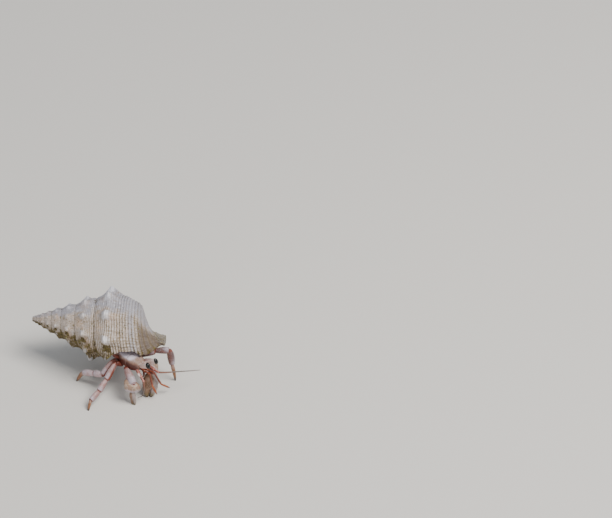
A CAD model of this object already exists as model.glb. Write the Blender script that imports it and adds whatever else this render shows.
# A land hermit crab, walking, in a knobbed sea snail's shell: a life-size museum model.
# Metres, +Z up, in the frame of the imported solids. The floor is Z = 0, under the middle of the model.
import math

import bpy
from mathutils import Euler, Matrix, Vector, noise


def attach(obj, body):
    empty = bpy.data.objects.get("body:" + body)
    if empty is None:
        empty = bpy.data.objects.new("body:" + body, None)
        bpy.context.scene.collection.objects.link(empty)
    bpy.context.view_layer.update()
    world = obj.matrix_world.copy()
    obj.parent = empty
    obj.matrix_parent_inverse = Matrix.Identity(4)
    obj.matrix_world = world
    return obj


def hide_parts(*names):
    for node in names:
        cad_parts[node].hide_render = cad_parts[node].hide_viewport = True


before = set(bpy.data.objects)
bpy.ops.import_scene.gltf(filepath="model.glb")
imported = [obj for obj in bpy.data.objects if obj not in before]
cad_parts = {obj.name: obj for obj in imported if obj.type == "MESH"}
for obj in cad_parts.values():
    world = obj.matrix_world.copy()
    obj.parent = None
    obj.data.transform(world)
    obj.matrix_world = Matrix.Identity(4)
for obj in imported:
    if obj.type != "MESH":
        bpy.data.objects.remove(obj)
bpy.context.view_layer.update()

MM = 0.001


# ---- camera ----
# A long lens, far off, that looks down on the crab and keeps it small at the left of the frame.
camera_data = bpy.data.cameras.new("camera")
camera_data.lens = 211.76
camera_data.sensor_width = 36
camera = bpy.data.objects.new("camera", camera_data)
camera.location = Vector((-0.78, -715.308, 554.095)) * MM
camera.rotation_euler = Euler([math.radians(turn) for turn in (54.0529, 0, -3.8525)])
bpy.context.scene.collection.objects.link(camera)
bpy.context.scene.camera = camera


# ---- the snail's shell ----
# The limy shell of a sea snail, worn and chalky, with a row of blunt knobs on the shoulder of each whorl,
# fine cords along the whorls and growth lines across them. It is laid out ring by ring about its axis, as it
# grew: every whorl is the one before it, SWELL times as large. Turns are counted back from the lip.
APEX = Vector((-21.93, 9.9015, 12.15))
AXIS = Vector((0.96, -0.275, 0.012)).normalized()  # from the apex to the canal
SWELL = 1.41
SHOULDER = 23.5  # of the last whorl at the lip, from the apex
SHELL_END = 35.6  # of the canal, from the apex
FLARE = 0.44  # shoulder's radius over its distance from the apex
SUTURE_DEPTH = 0.93  # radius at a suture over the cone's
FIRST_TURN = -8.3  # where the worn tip starts
KNOBS = 10  # on each whorl
KNOB_PHASE = 0.397  # turns by which their row is shifted
KNOB_HEIGHT = 0.1  # over the shoulder's radius
PILLAR_R = 1.25
CANAL_BEND = 1.5  # of the canal towards the mouth
CANAL_TURN = 250  # degrees round the axis, the side it bends to
WALL = 0.9
LIP_ROUND = 0.32  # how far the worn lip curves in
LIP_TURN = 195  # degrees round the axis, from +Y towards +Z
CORDS = 13  # on each whorl, from one shoulder to the next
GROWTH_STOPS = [(-0.133, 0.45), (-0.069, 1)]  # turns back from the lip where it rested, and how strongly
# worn edge of the lip: distance from the apex, degrees round the axis
LIP_EDGE = [(19, 197), (22, 195), (24.5, 184), (27, 178), (29.7, 180), (31.8, 190), (33.8, 206)]
# below the shoulder: share of the way to the end, radius over the shoulder's
BASE_PROFILE = [
    (0, 1), (0.15, 0.96), (0.27, 0.92), (0.37, 0.92), (0.51, 0.84), (0.63, 0.78), (0.7, 0.69),
    (0.78, 0.44), (0.86, 0.23), (0.92, 0.15), (1, 0.13),
]
across_y = (Vector((0, 1, 0)) - AXIS * AXIS.y).normalized()
across_z = AXIS.cross(across_y)


def mix(a, b, share):
    return a + (b - a) * share


def smooth(x, start, end):
    share = min(max((x - start) / (end - start), 0), 1)
    return share * share * (3 - 2 * share)


def along(pairs, t):
    """The value at t of a line through (t, value) pairs."""
    if t <= pairs[0][0]:
        return pairs[0][1]
    for (t0, v0), (t1, v1) in zip(pairs, pairs[1:]):
        if t <= t1:
            return mix(v0, v1, (t - t0) / (t1 - t0))
    return pairs[-1][1]


def eased(pairs, t):
    """The value at t of the same line with its corners rounded."""
    reach = 0.03 * (pairs[-1][0] - pairs[0][0])
    return sum(along(pairs, t + reach * step) for step in (-1.5, -0.75, 0, 0.75, 1.5)) / 5


def round_axis(degrees):
    turned = math.radians(degrees)
    return across_y * math.cos(turned) + across_z * math.sin(turned)


canal_side = round_axis(CANAL_TURN)


def shell_point(u, degrees, radius):
    bend = CANAL_BEND * smooth(u, 0.8 * SHELL_END, SHELL_END)
    return APEX + AXIS * u + round_axis(degrees) * radius + canal_side * bend


def turns_before(u, turn):
    """How many turns u lies before the shoulder of the whorl that has made this many turns."""
    return math.log(SHOULDER * SWELL**turn / u) / math.log(SWELL)


def shell_radius(u, turn):
    shoulder = SHOULDER * SWELL**turn
    if u < shoulder:
        phase = turns_before(u, turn) % 1
        sunk = (phase / 0.5) ** 0.7 if phase < 0.5 else ((1 - phase) / 0.5) ** 0.9
        return FLARE * u * mix(1, SUTURE_DEPTH, sunk)
    end = SHELL_END * SWELL ** (0.6 * turn - 1.6 * max(-turn - 0.5, 0))
    return max(FLARE * shoulder * eased(BASE_PROFILE, (u - shoulder) / (end - shoulder)), PILLAR_R)


def relief(u, turn):
    """What stands over the whorl: knobs, the ribs below them, the suture, cords, growth lines and wear."""
    before = turns_before(u, turn)
    phase = before - round(before)
    off = abs(before / 0.3 if before < 0 else phase / 0.17)
    step = KNOBS * (turn + KNOB_PHASE)
    step -= round(step)
    comb = math.exp(-((step / (0.25 if step < 0 else 0.15)) ** 2))
    worn = mix(0.5, 1, smooth(u, 8, 19))
    knob = worn * KNOB_HEIGHT * math.exp(-(off**1.6)) * (2 * comb - 0.35)
    rib = 0.02 * math.exp(-((abs(phase) / 0.42) ** 4)) * (comb - 0.4) if before > 0 else 0
    suture = -0.024 * math.exp(-(((abs(phase) - 0.5) / 0.045) ** 2)) if before > 0 else 0
    fade = smooth(u, 7, 15) * (1 - smooth(u, 33, 35.4))
    cord = 0.009 * fade * math.cos(2 * math.pi * CORDS * before) * (1 - 0.6 * smooth(-before, 0.9, 1.15))
    place = Vector((turn * 60, before * 9, 0))
    growth = 0.008 * fade * noise.noise(place) + 0.005 * fade * noise.noise(place * 2.7)
    for stop, strength in GROWTH_STOPS:
        if before < 0.1:
            step_side = 1 if turn < stop else -0.6
            growth += 0.012 * strength * math.exp(-(((turn - stop) / 0.006) ** 2)) * step_side
    pocked = shell_point(u, 360 * turn + LIP_TURN, FLARE * u)
    wear = 0.016 * noise.noise(pocked * 0.45) + 0.01 * noise.noise(pocked * 1.3)
    wear += 0.005 * noise.noise(pocked * 2.9)
    return FLARE * u * (knob + rib + suture + cord + growth) + FLARE * SHOULDER * wear * smooth(u, 1, 12)


def lip_inset(reach):
    """How far the outside is drawn in at this distance behind the lip."""
    left = max(1 - reach / LIP_ROUND, 0)
    return LIP_ROUND * (1 - math.sqrt(1 - left * left))


def new_piece(name, points, faces):
    mesh = bpy.data.meshes.new(name)
    mesh.from_pydata(points, [], faces)
    piece = bpy.data.objects.new(name, mesh)
    bpy.context.scene.collection.objects.link(piece)
    return piece


def bare():
    """Select nothing."""
    bpy.ops.object.select_all(action="DESELECT")


def only(*chosen):
    """Select these pieces and no others; the first is the active one."""
    bare()
    for piece in chosen:
        piece.select_set(True)
    bpy.context.view_layer.objects.active = chosen[0]


def shell_outside():
    rows = 150
    base_rows = 108
    columns = 250
    first = SHOULDER * SWELL**FIRST_TURN
    distances = [first * (SHOULDER / first) ** ((i / rows) ** 0.75) for i in range(rows + 1)]
    distances += [mix(SHOULDER, SHELL_END, i / base_rows) for i in range(1, base_rows + 1)]
    near_lip = [1 - 0.004 * 0.45**k for k in (1, 2, 3, 4)]
    steps = [j / columns for j in range(columns)] + near_lip + [1]
    points = []
    marks = []
    for u in distances:
        lip = along(LIP_EDGE, u)
        for step in steps:
            degrees = lip + 360 * (step - 1)
            turn = (degrees - LIP_TURN) / 360
            radius = shell_radius(u, turn) + relief(u, turn)
            last_shoulder = SHOULDER * SWELL ** (turn - 1)
            shows = smooth(u, last_shoulder, last_shoulder + 1.5)
            radius -= shows * lip_inset(math.radians(360 * (1 - step)) * radius)
            points.append(shell_point(u, degrees, max(radius, 0.3)))
            marks.append((turn, turns_before(u, turn)))
    width = len(steps)
    faces = []
    for i in range(len(distances) - 1):
        for j in range(width - 1):
            a = i * width + j
            faces.append((a, a + width, a + width + 1, a + 1))
        faces.append((i * width + width - 1, (i + 1) * width + width - 1, (i + 1) * width, i * width))
    for start, turned in ((0, False), ((len(distances) - 1) * width, True)):
        ring = list(range(start, start + width))
        faces.append(ring[::-1] if turned else ring)
    shell = new_piece("shell_outer", points, faces)
    wound = shell.data.uv_layers.new(name="wound")
    for loop in shell.data.loops:
        wound.data[loop.index].uv = marks[loop.vertex_index]
    return shell


def shell_room():
    rings = 76
    sides = 64
    middle = 27.7  # of the room at the lip, from the apex
    half_length = 5.9
    points = []
    for i in range(rings + 1):
        back = mix(-0.04, 0.75, i / rings)
        scale = SWELL**-back
        closing = smooth(back, 0, 0.75)
        for j in range(sides):
            t = 2 * math.pi * j / sides
            u = scale * (middle - 2 * closing + mix(half_length, 3.9, closing) * math.cos(t))
            lead = mix(along(LIP_EDGE, u / scale) - LIP_TURN, 0, smooth(back, 0, 0.15))
            outer = shell_radius(u, -back) - mix(0.55, 1, scale) * WALL
            share = 0.5 + 0.5 * math.copysign(abs(math.sin(t)) ** 0.75, math.sin(t))
            radius = mix(scale * PILLAR_R + 0.15, outer, share)
            points.append(shell_point(u, LIP_TURN + lead - 360 * back, radius))
    faces = []
    for i in range(rings):
        for j in range(sides):
            a = i * sides + j
            b = i * sides + (j + 1) % sides
            faces.append((a, b, b + sides, a + sides))
    faces.append(tuple(range(sides))[::-1])
    faces.append(tuple(range(rings * sides, (rings + 1) * sides)))
    room = new_piece("shell_room", points, faces)
    wound = room.data.uv_layers.new(name="wound")
    for mark in wound.data:
        mark.uv = (0, -9)
    return room


def in_edit():
    """Go into edit mode with every point selected."""
    bpy.ops.object.mode_set(mode="EDIT")
    bpy.ops.mesh.select_all(action="SELECT")


def close_up(piece):
    """Merge doubled points and turn the faces out."""
    only(piece)
    in_edit()
    bpy.ops.mesh.remove_doubles(threshold=1e-4)
    bpy.ops.mesh.dissolve_degenerate(threshold=1e-5)
    bpy.ops.mesh.select_all(action="SELECT")
    bpy.ops.mesh.normals_make_consistent(inside=False)
    bpy.ops.object.mode_set(mode="OBJECT")


def cut_away(piece, cutter):
    only(piece)
    cut = piece.modifiers.new("cut", "BOOLEAN")
    cut.operation = "DIFFERENCE"
    cut.solver = "EXACT"
    cut.object = cutter
    bpy.ops.object.modifier_apply(modifier="cut")
    bpy.data.objects.remove(cutter)


def settle(piece, placing=None):
    """Put a piece modelled in millimetres in its place, in metres, with its object at the origin."""
    only(piece)
    piece.matrix_world = Matrix.Scale(MM, 4) @ (placing or Matrix.Identity(4))
    bpy.ops.object.transform_apply(location=True, rotation=True, scale=True)


class Wire:
    """An output of a shader node that joins in sums: wire * 2 + other adds the Math nodes."""

    def __init__(self, tree, socket=None):
        self.tree = tree
        self.socket = socket

    def node(self, kind, settings, sockets, output=0):
        """Add a node, give it its settings and then the values or links of its sockets, by place or name."""
        made = self.tree.nodes.new("ShaderNode" + kind)
        for setting, value in settings.items():
            setattr(made, setting, value)
        for place, value in sockets.items():
            if isinstance(value, Wire):
                self.tree.links.new(value.socket, made.inputs[place])
            else:
                made.inputs[place].default_value = value
        return Wire(self.tree, made.outputs[output])

    def math(self, operation, *values):
        return self.node("Math", {"operation": operation}, dict(enumerate(values)))

    def __add__(self, other):
        return self.math("ADD", self, other)

    def __sub__(self, other):
        return self.math("SUBTRACT", self, other)

    def __rsub__(self, other):
        return self.math("SUBTRACT", other, self)

    def __mul__(self, other):
        return self.math("MULTIPLY", self, other)

    __radd__ = __add__
    __rmul__ = __mul__

    def within(self, start, end):
        """0 up to start, 1 from end on, with a soft rise between; start over end gives a fall."""
        sockets = {0: self, 1: start, 2: end, 3: 0, 4: 1}
        return self.node("MapRange", {"interpolation_type": "SMOOTHSTEP"}, sockets)

    def wave(self, rate):
        """0 to 1 and back, so many times in each unit."""
        return self.math("COSINE", self * (2 * math.pi * rate)) * 0.5 + 0.5

    def axis(self, which):
        return self.node("SeparateXYZ", {}, {0: self}, which)

    def stretched(self, scale):
        return self.node("Mapping", {}, {"Vector": self, "Scale": scale})

    def cloud(self, size, detail=3, roughness=0.55):
        """Noise about 0.5, with patches of this size."""
        sockets = {"Vector": self, "Scale": 1 / size, "Detail": detail, "Roughness": roughness}
        return self.node("TexNoise", {}, sockets)

    def spots(self, size, spread=1):
        """0 at the middle of each of many scattered spots, growing away from it."""
        return self.node("TexVoronoi", {}, {"Vector": self, "Scale": 1 / size, "Randomness": spread})

    def cover(self, colour, share):
        """This colour with another laid over it by a share."""
        other = colour if isinstance(colour, Wire) else (*colour, 1)
        return self.node("Mix", {"data_type": "RGBA"}, {0: share, 6: self, 7: other}, 2)


def finish(name, roughness, specular=0.5, coat=0, coat_roughness=0.1):
    """A new material with its even numbers set: the material, its shader and a wire to start from."""
    material = bpy.data.materials.new(name)
    material.use_nodes = True
    shader = material.node_tree.nodes["Principled BSDF"]
    shader.inputs["Roughness"].default_value = roughness
    shader.inputs["Specular IOR Level"].default_value = specular
    shader.inputs["Coat Weight"].default_value = coat
    shader.inputs["Coat Roughness"].default_value = coat_roughness
    return material, shader, Wire(material.node_tree)


def lay(shader, socket, wire):
    wire.tree.links.new(wire.socket, shader.inputs[socket])


def raised(shader, height, depth):
    """Bump: height 0 to 1 stands for this many metres."""
    sockets = {"Height": height, "Distance": depth, "Strength": 1.0}
    lay(shader, "Normal", height.node("Bump", {}, sockets))


def place_in_mm(start):
    """Object coordinates in millimetres."""
    bare = start.node("TexCoord", {}, {}, "Object")
    return bare.stretched((1 / MM, 1 / MM, 1 / MM))


def plain(wire, colour):
    """An even colour that others can be laid over."""
    return wire.node("Mix", {"data_type": "RGBA"}, {0: 0.0, 6: (*colour, 1), 7: (*colour, 1)}, 2)


def limy():
    """Chalky lime: lilac-grey above, cream and blush pink below it, with brown in the grooves, olive algae
    low down and in the sutures, dark pits, and knobs worn blue-white."""
    material, shader, start = finish("limy", 0.66, specular=0.3)
    place = place_in_mm(start)
    wound = start.node("UVMap", {"uv_map": "wound"}, {})
    turn = wound.axis(0)
    before = wound.axis(1)
    inside = before.within(-7, -8)
    angle = turn * (2 * math.pi) + math.radians(LIP_TURN)
    up = start.math("SINE", angle)
    above = start.math("COSINE", angle - math.radians(78))
    blotch = place.cloud(2.6, 4, 0.6)
    small = place.cloud(0.7, 4, 0.6)
    fleck = place.cloud(0.34, 3, 0.6)
    patch = place.stretched((1, 1, 0.8)).cloud(3.4, 3, 0.5)

    phase = start.math("ABSOLUTE", start.math("FRACT", before + 0.5) - 0.5)
    spire = before.within(-0.02, 0.03)
    base = before.within(0.0, -0.1)
    shoulder = phase.within(0.22, 0.04)
    comb = (turn + KNOB_PHASE).wave(KNOBS)
    knob = (comb + (small - 0.5) * 0.5).within(0.6, 0.85)
    knob = knob * phase.within(0.17, 0.07) * before.within(-0.4, -0.3)
    under = (turn + 0.36).wave(KNOBS).within(0.55, 0.95) * shoulder * before.within(-0.4, -0.2)
    suture = phase.within(0.38, 0.49) * spire

    uneven = before + (small - 0.5) * 0.035
    groove = uneven.wave(CORDS).within(0.42, 0.06) * (1 - 0.55 * before.within(-0.95, -1.15))
    fine_groove = uneven.wave(CORDS * 2).within(0.5, 0.1)
    lines = wound.stretched((110, 2.6, 1)).cloud(1, 4, 0.65)
    growth = (turn + (small - 0.5) * 0.008 + (blotch - 0.5) * 0.02).wave(76).within(0.45, 0.1)
    stops = 0
    for stop, strength in GROWTH_STOPS:
        off = start.math("ABSOLUTE", turn - stop + (small - 0.5) * 0.006)
        stops = off.within(0.0035, 0.001) * strength + stops
    stops = stops * base * before.within(-0.85, -0.6)

    colour = plain(start, (0.57, 0.49, 0.44))
    colour = colour.cover((0.44, 0.345, 0.27), blotch.within(0.44, 0.3) * 0.8)
    lilac = (above + (blotch - 0.5) * 0.9).within(0.62, 0.92)
    colour = colour.cover((0.395, 0.39, 0.445), lilac)
    blush = patch.within(0.5, 0.64) * phase.within(0.6, 0.1) * (1 - lilac * 0.6)
    colour = colour.cover((0.60, 0.42, 0.31), blush * 0.75)
    rust = fleck.within(0.6, 0.72) * small.within(0.48, 0.62) * blush
    colour = colour.cover((0.62, 0.30, 0.11), rust * 0.8)
    chalk = (fleck * 0.5 + small * 0.5).within(0.52, 0.64)
    colour = colour.cover((0.68, 0.69, 0.76), chalk * 0.8)
    worn = 1 - lilac * 0.7
    stain = (fleck * 0.55 + small * 0.45).within(0.49, 0.37) * worn
    colour = colour.cover((0.235, 0.17, 0.105), stain * 0.85)
    top = above.within(0.5, 0.85)
    stripe = before.within(-0.6, -0.68) * before.within(-0.84, -0.76)
    colour = colour.cover((0.42, 0.415, 0.465), stripe * 0.7)
    band = (before + (small - 0.5) * 0.06).within(-0.8, -0.92) * (1 - 0.8 * top)
    colour = colour.cover((0.11, 0.083, 0.072), band * 0.9)
    canal = before.within(-1.14, -1.26)
    colour = colour.cover((0.31, 0.285, 0.26), canal * 0.85)
    colour = colour.cover((0.30, 0.25, 0.07), canal * fleck.within(0.5, 0.6) * 0.6)
    colour = colour.cover((0.09, 0.07, 0.04), canal * fleck.within(0.46, 0.38) * 0.6)

    dirt = small.within(0.38, 0.58)
    patchy = place.cloud(1.7, 3, 0.6).within(0.36, 0.6)
    colour = colour.cover((0.21, 0.155, 0.09), groove * (0.2 + 0.45 * dirt + 0.45 * patchy) * worn)
    colour = colour.cover((0.33, 0.26, 0.19), fine_groove * 0.3 * dirt * worn)
    cross = growth * (0.15 + 0.6 * patch.within(0.54, 0.4)) * base * worn * (0.2 + 0.5 * dirt + 0.6 * patchy)
    colour = colour.cover((0.22, 0.165, 0.10), cross)
    colour = colour.cover((0.12, 0.09, 0.06), band * groove * 0.6)
    colour = colour.cover((0.28, 0.22, 0.17), lines.within(0.56, 0.74) * 0.4)
    colour = colour.cover((0.68, 0.65, 0.64), lines.within(0.43, 0.3) * 0.45 * (1 - groove))

    low = up.within(0.42, -0.3)
    alga = low * (0.66 - 0.3 * before.within(-0.1, -0.35)) + suture * 0.32
    alga = alga + under * up.within(0.8, 0.1) * 0.55
    alga = (alga + (small - 0.5) * 1.3 + (blotch - 0.5) * 1.3 + groove * 0.15).within(0.22, 0.68)
    colour = colour.cover((0.115, 0.08, 0.016), alga * 0.94)
    colour = colour.cover((0.04, 0.028, 0.012), alga * fleck.within(0.48, 0.58) * 0.85)
    colour = colour.cover((0.31, 0.27, 0.08), alga * small.within(0.56, 0.68) * 0.6)
    bright = knob * (0.6 + 0.4 * chalk) * (1 - 0.5 * before.within(0.4, 0.9)) * blotch.within(0.32, 0.5)
    colour = colour.cover((0.84, 0.85, 0.92), bright)
    pits = wound.stretched((105, CORDS * 2.6, 1)).spots(1, 0.8)
    pitted = pits.within(0.3 + (fleck - 0.5) * 0.3, 0.12) * place.cloud(1.3, 2).within(0.46, 0.56)
    pitted = pitted * before.within(0.0, -0.4) * worn * before.within(-0.95, -0.8)
    colour = colour.cover((0.05, 0.035, 0.025), pitted * 0.9)
    colour = colour.cover((0.13, 0.1, 0.04), stops * dirt * 0.85)
    room = plain(start, (0.50, 0.40, 0.33)).cover((0.33, 0.23, 0.17), place.cloud(3, 3).within(0.35, 0.7))
    lay(shader, "Base Color", colour.cover(room, inside))
    lay(shader, "Roughness", 0.76 - 0.3 * inside - 0.12 * knob)
    height = (1 - groove) * 0.35 - growth * 0.12 * base - stops * 0.4
    height = height + lines * 0.35 + small * 0.55 + fleck * 0.3
    raised(shader, (height - pitted * 0.8) * (1 - 0.8 * inside), 0.14 * MM)
    return material


shell = shell_outside()
close_up(shell)
room = shell_room()
close_up(room)
cut_away(shell, room)
settle(shell)
shell.name = "snail_shell"
bpy.ops.object.shade_smooth_by_angle(angle=math.radians(50))
shell.data.materials.append(limy())
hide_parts("shell")
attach(shell, "root")


# ---- the shield ----
# The hard shield over the head and chest: pale lilac on top, dark red at its lower margin, crossed by the
# neck groove. It is drawn out from waist to brow as one body, of which the part above its margin is kept.
CRAB_PLACE = Vector((3.89, -5.1685, 0))  # the floor under the middle of the shield
HEADING = math.radians(-48)  # of the crab, from +X
CRAB = Matrix.Translation(CRAB_PLACE) @ Matrix.Rotation(HEADING, 4, "Z")
SHIELD_EDGE = 8.72  # height of its lower margin
TRUNK_FOOT = 7.3  # height of the body's underside, inside the shield
# forward, half width, height of the back
SHIELD_RINGS = [
    (-3.95, 1.1, 10.3), (-3.75, 1.5, 10.7), (-3.1, 1.92, 10.93), (-1.8, 2.13, 10.98), (-0.75, 2.2, 10.96),
    (-0.42, 2.18, 10.88), (-0.28, 2.14, 10.84), (-0.12, 2.18, 10.88), (0.3, 2.22, 10.9), (1.2, 2.16, 10.74),
    (2.0, 1.98, 10.48), (2.6, 1.8, 10.26), (3.0, 1.66, 10.1), (3.25, 1.55, 9.98), (3.42, 1.42, 9.86),
    (3.47, 1.2, 9.72), (3.4, 0.9, 9.5),
]


def drawn_out(name, rings, sides=16, squared=0):
    """A closed body drawn out along +Z: rings of height, half width, half depth, and how far each lies off
    the axis. Its section is round, or a square with its corners rounded by this much."""
    rings = [(*ring, 0, 0)[:5] for ring in rings]
    bare()
    if squared:
        bpy.ops.mesh.primitive_plane_add(size=2)
    else:
        bpy.ops.mesh.primitive_circle_add(vertices=sides, radius=1, fill_type="NGON")
    piece = bpy.context.object
    piece.name = name
    in_edit()
    if squared:
        bpy.ops.mesh.bevel(offset=squared, segments=5, affect="VERTICES")
    last = Vector((0, 0, 0))
    wide, deep = 1, 1
    for step, (height, half_wide, half_deep, aside, up) in enumerate(rings):
        middle = Vector((aside, up, height))
        if step:
            bpy.ops.mesh.extrude_region_move(TRANSFORM_OT_translate={"value": middle - last})
        else:
            bpy.ops.transform.translate(value=middle)
        bpy.ops.transform.resize(value=(half_wide / wide, half_deep / deep, 1), center_override=middle)
        last = middle
        wide, deep = half_wide, half_deep
    bpy.ops.mesh.select_all(action="SELECT")
    bpy.ops.mesh.normals_make_consistent(inside=False)
    bpy.ops.object.mode_set(mode="OBJECT")
    return piece


def finer(piece):
    """Round a piece off, in two steps."""
    only(piece)
    rounded = piece.modifiers.new("rounded", "SUBSURF")
    rounded.levels = 2
    rounded.render_levels = 2
    bpy.ops.object.modifier_apply(modifier="rounded")


def sliced(piece, point, normal, edge=0):
    """Keep the side of a plane that its normal points to, capped, with its new edge rounded over."""
    only(piece)
    in_edit()
    bpy.ops.mesh.bisect(plane_co=point, plane_no=normal, use_fill=True, clear_inner=True, threshold=1e-6)
    if edge:
        bpy.ops.mesh.bevel(offset=edge, segments=3, affect="EDGES", clamp_overlap=True)
    bpy.ops.object.mode_set(mode="OBJECT")


def along_limb(start, end, up=(0, 0, 1)):
    """Where a piece drawn out along +Z goes in the crab's frame: +Z on to its end, +Y up."""
    way = (end - start).normalized()
    side = Vector(up).cross(way).normalized()
    return CRAB @ Matrix.Translation(start) @ Matrix((side, way.cross(side), way)).transposed().to_4x4()


def mark_points(piece, marks):
    """Keep a mark at each point of a piece, for its material to read."""
    kept = piece.data.attributes.new("limb", "FLOAT_VECTOR", "POINT")
    for point, mark in zip(kept.data, marks):
        point.vector = mark


def mark_limb(piece, length, wide, deep):
    """Mark each point with where it lies across, up and along the piece."""
    places = [point.co.copy() for point in piece.data.vertices]
    mark_points(piece, [(place.x / wide, place.y / deep, place.z / length) for place in places])


def hand_over(piece, material, slot, *nodes):
    """Give a piece its material and slot, and the nodes that it stands in for."""
    piece.data.materials.append(material)
    if nodes:
        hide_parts(*nodes)
    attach(piece, "root")


def smooth_and_hand_over(piece, material, slot, *nodes):
    bpy.ops.object.shade_smooth()
    hand_over(piece, material, slot, *nodes)


def place_and_hand_over(piece, placing, material, slot, *nodes):
    settle(piece, placing)
    smooth_and_hand_over(piece, material, slot, *nodes)


def limb_marks(start):
    return start.node("Attribute", {"attribute_name": "limb"}, {}, "Vector")


def shield_armour():
    """Lilac-white over the back with fine dark dots, cream to brown down the sides, red at the margin."""
    material, shader, start = finish("shield_armour", 0.38, specular=0.5, coat=0.15, coat_roughness=0.3)
    place = place_in_mm(start)
    height = place.axis(2)
    mottle = place.cloud(0.9, 4, 0.6)
    grain = place.cloud(0.22, 3)
    dots = place.spots(0.42)
    from_crab_x = place.axis(0) - CRAB_PLACE.x
    from_crab_y = place.axis(1) - CRAB_PLACE.y
    forward = from_crab_x * math.cos(HEADING) + from_crab_y * math.sin(HEADING)
    aside = from_crab_y * math.cos(HEADING) - from_crab_x * math.sin(HEADING)
    aside = start.math("ABSOLUTE", aside)
    wobble = height + (mottle - 0.5) * 1.0
    brow = forward.within(0.6, 2.2)
    colour = plain(start, (0.31, 0.205, 0.175))
    colour = colour.cover((0.42, 0.355, 0.40), mottle.within(0.42, 0.58) * wobble.within(10.2, 10.8) * 0.9)
    colour = colour.cover((0.30, 0.20, 0.15), brow * mottle.within(0.6, 0.45) * 0.8)
    colour = colour.cover((0.68, 0.62, 0.71), forward.within(1.9, 0.6) * height.within(10.2, 10.6))
    colour = colour.cover((0.72, 0.68, 0.67), grain.within(0.58, 0.72) * 0.4)
    sides = aside.within(0.9, 1.7)
    colour = colour.cover((0.20, 0.10, 0.065), wobble.within(10.5, 9.8) * (0.35 + 0.55 * sides))
    colour = colour.cover((0.07, 0.014, 0.008), wobble.within(10.15, 9.5) * (0.3 + 0.65 * sides))
    colour = colour.cover((0.13, 0.032, 0.018), (forward + (mottle - 0.5) * 1.2).within(-3.0, -3.8) * 0.7)
    groove = start.math("ABSOLUTE", forward + 0.28).within(0.22, 0.05)
    colour = colour.cover((0.33, 0.2, 0.18), groove * 0.4)
    dark = dots.within(0.3, 0.16) * (0.25 + 0.6 * brow) * grain.within(0.44, 0.54)
    colour = colour.cover((0.15, 0.05, 0.045), dark)
    lay(shader, "Base Color", colour)
    raised(shader, grain * 0.5 + mottle * 0.5 - dots.within(0.3, 0.1) * 0.35, 0.07 * MM)
    return material


def trunk_body(name, rings, foot, squared=0):
    """A body from rings of forward, half width and height, down or up to foot, and where it goes."""
    first = rings[0][0]
    rings = [(ahead - first, wide, (back - foot) / 2, 0, (back + foot) / 2) for ahead, wide, back in rings]
    return drawn_out(name, rings, 24, squared), along_limb(Vector((first, 0, 0)), Vector((0, 0, 0)))


SHIELD_ARMOUR = shield_armour()
shield, place = trunk_body("head_shield", SHIELD_RINGS, TRUNK_FOOT, squared=0.72)
finer(shield)
sliced(shield, (0, SHIELD_EDGE, 0), (0, 1, 0), edge=0.1)
settle(shield, place)
hand_over(shield, SHIELD_ARMOUR, "armour", "shield")


# ---- the underside of head and chest ----
# Thinner, dark rust-red armour that carries the legs, pinched between each pair of hips.
CHEST_TOP = 9.9  # height of its top, inside the shield
# forward, half width, height of the underside
CHEST_RINGS = [
    (-3.95, 0.9, 8.2), (-3.7, 1.45, 7.8), (-3.1, 1.98, 7.45), (-2.6, 1.9, 7.5), (-2.0, 2.15, 7.1),
    (-1.4, 2.1, 7.25), (-0.7, 2.22, 6.95), (-0.2, 2.12, 7.1), (0.5, 2.2, 6.85), (1.3, 2.1, 7.0),
    (2.1, 1.85, 7.2), (2.8, 1.5, 7.6), (3.2, 1.15, 8.1), (3.42, 0.6, 8.6),
]


def red_armour():
    """Dark rust-red armour, paler where light wears on it, nearly black in its hollows."""
    material, shader, start = finish("red_armour", 0.4, coat=0.15, coat_roughness=0.3)
    place = place_in_mm(start)
    mottle = place.cloud(0.6, 4, 0.6)
    grain = place.cloud(0.16, 3)
    colour = plain(start, (0.135, 0.022, 0.012))
    colour = colour.cover((0.22, 0.05, 0.022), mottle.within(0.5, 0.68) * 0.8)
    colour = colour.cover((0.06, 0.018, 0.014), mottle.within(0.5, 0.36) * 0.85)
    colour = colour.cover((0.4, 0.2, 0.15), grain.within(0.6, 0.74) * 0.35)
    lay(shader, "Base Color", colour)
    raised(shader, grain * 0.6 + mottle * 0.4, 0.06 * MM)
    return material


RED_ARMOUR = red_armour()
chest, place = trunk_body("chest", CHEST_RINGS, CHEST_TOP)
finer(chest)
sliced(chest, (0, SHIELD_EDGE - 0.1, 0), (0, -1, 0), edge=0.06)
settle(chest, place)
hand_over(chest, RED_ARMOUR, "armour_red", "thorax")


# ---- the soft rear ----
# The soft, unarmoured belly, which bends up from the waist and follows the shell's room round: one skin,
# ringed with fine folds, moist and brownish pink.
WAIST = [Vector((-3.7, 0, 9.4)), Vector((-4.75, 0.1, 10.4)), Vector((-4.9, 0, 12.0))]
BELLY_TURNS = [(24.8, 140, 4.6), (24.2, 100, 4.6), (23.4, 60, 4.4), (22.4, 20, 4.1), (21.4, -20, 3.8)]
BELLY_GIRTH = [1.35, 1.6, 1.8, 2.05, 2.1, 2.0, 1.6, 0.9]


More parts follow.
